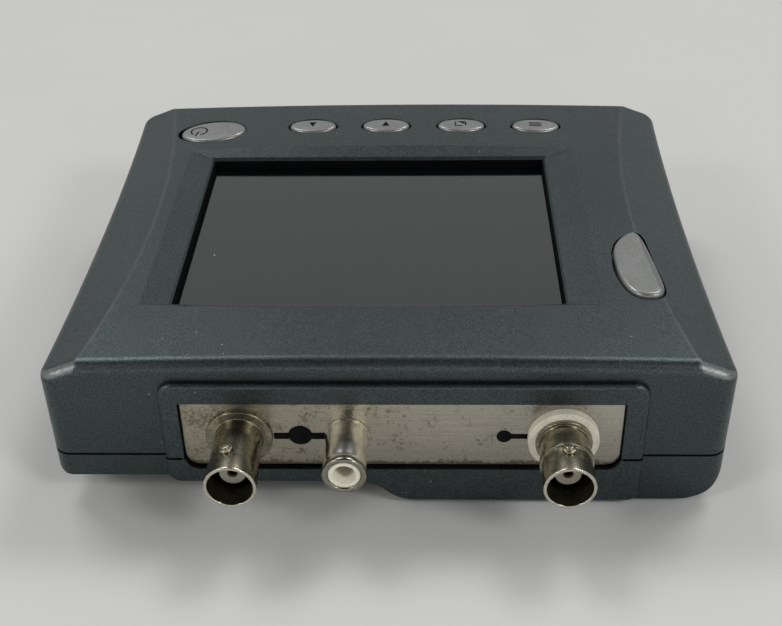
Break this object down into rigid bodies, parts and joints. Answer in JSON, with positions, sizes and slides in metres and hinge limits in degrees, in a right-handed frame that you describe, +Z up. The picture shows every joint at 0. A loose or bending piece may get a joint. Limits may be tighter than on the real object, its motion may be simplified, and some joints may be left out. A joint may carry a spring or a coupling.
{
  "type": "handheld video test monitor",
  "caption": "Hand-held video test monitor: waisted case with sunken screen, oval keys, half-moon side key, two bayonet sockets and an RCA socket on a metal plate.",
  "frame": {"origin": "under the middle of the whole outline, sockets included, on the surface that the feet stand on", "axes": "+X to the right and +Y away from someone facing the sockets, +Z up out of the screen"},
  "size_m": [0.1288, 0.1238, 0.0344],
  "materials": {
    "case_plastic": "satin metallic paint with a fine speckle",
    "button_silver": "satin silver paint",
    "screen_glass": "glossy dark tint",
    "aged_nickel": "aged, speckled",
    "plate_nickel": "brushed, corroded in spots",
    "white_plastic": "satin off-white",
    "black_plastic": "matt",
    "black_rubber": "matt",
    "board_green": "satin resist over glass fibre",
    "tin_plate": "bright tin",
    "copper_alloy": "gold flash",
    "screw_steel": "black zinc",
    "ribbon_film": "white film",
    "amber_film": "amber film",
    "panel_glass": "dark polariser",
    "light_guide": "white",
    "cell_wrap": "shrink film",
    "paper_cone": "pressed paper",
    "foam": "closed-cell foam",
    "wire_red": "insulation",
    "ferrite": "sintered"
  },
  "bodies": {
    "case": {"upper_shell": "case_plastic", "lower_shell": "case_plastic", "screen_lens": "screen_glass", "lens_tape": "black_plastic", "lcd_frame": "tin_plate", "lcd_panel": "panel_glass", "backlight": "light_guide", "lcd_ribbon": "amber_film", "connector_plate": "plate_nickel", "left_bnc_body": "aged_nickel", "right_bnc_body": "aged_nickel", "left_bnc_nut": "aged_nickel", "right_bnc_nut": "aged_nickel", "left_bnc_insulator": "white_plastic", "right_bnc_insulator": "white_plastic", "left_bnc_contact": "copper_alloy", "right_bnc_contact": "copper_alloy", "insulating_washers": "white_plastic", "rca_shell": "aged_nickel", "rca_nut": "aged_nickel", "rca_insulator": "white_plastic", "rca_contact": "copper_alloy", "dc_inlet": "black_plastic", "dc_inlet_pin": "tin_plate", "av_jack": "black_plastic", "main_board": "board_green", "key_board": "board_green", "side_key_board": "board_green", "board_screws": "screw_steel", "key_board_screws": "screw_steel", "case_screws": "screw_steel", "chips": "black_plastic", "ribbon_sockets": "white_plastic", "key_ribbon": "ribbon_film", "capacitors": "black_plastic", "shield_can": "tin_plate", "crystal": "tin_plate", "backlight_transformer": "ferrite", "power_coil": "ferrite", "foam_pads": "foam", "speaker_frame": "tin_plate", "speaker_cone": "paper_cone", "battery_cells": "cell_wrap", "battery_contacts": "tin_plate", "internal_leads": "wire_red", "rubber_feet": "black_rubber", "key_switches": "black_plastic"},
    "power_key": {"power_button": "button_silver", "power_plunger": "black_plastic"},
    "down_key": {"down_button": "button_silver", "down_plunger": "black_plastic"},
    "up_key": {"up_button": "button_silver", "up_plunger": "black_plastic"},
    "flip_key": {"flip_button": "button_silver", "flip_plunger": "black_plastic"},
    "menu_key": {"menu_button": "button_silver", "menu_plunger": "black_plastic"},
    "side_key": {"side_button": "button_silver", "side_plunger": "black_plastic"},
    "battery_cover": {"battery_door": "case_plastic"}
  },
  "joints": [
    {"name": "power_press", "type": "slide", "parent": "case", "child": "power_key", "axis": [0, 0, -1], "range_m": [0, 0.0008], "stiffness_N_per_m": 1500},
    {"name": "down_press", "type": "slide", "parent": "case", "child": "down_key", "axis": [0, 0, -1], "range_m": [0, 0.0008], "stiffness_N_per_m": 1500},
    {"name": "up_press", "type": "slide", "parent": "case", "child": "up_key", "axis": [0, 0, -1], "range_m": [0, 0.0008], "stiffness_N_per_m": 1500},
    {"name": "flip_press", "type": "slide", "parent": "case", "child": "flip_key", "axis": [0, 0, -1], "range_m": [0, 0.0008], "stiffness_N_per_m": 1500},
    {"name": "menu_press", "type": "slide", "parent": "case", "child": "menu_key", "axis": [0, 0, -1], "range_m": [0, 0.0008], "stiffness_N_per_m": 1500},
    {"name": "side_press", "type": "slide", "parent": "case", "child": "side_key", "axis": [0, 0, -1], "range_m": [0, 0.0008], "stiffness_N_per_m": 1500},
    {"name": "battery_cover_slide", "type": "slide", "parent": "case", "child": "battery_cover", "axis": [1, 0, 0], "range_m": [0, 0.008]}
  ]
}
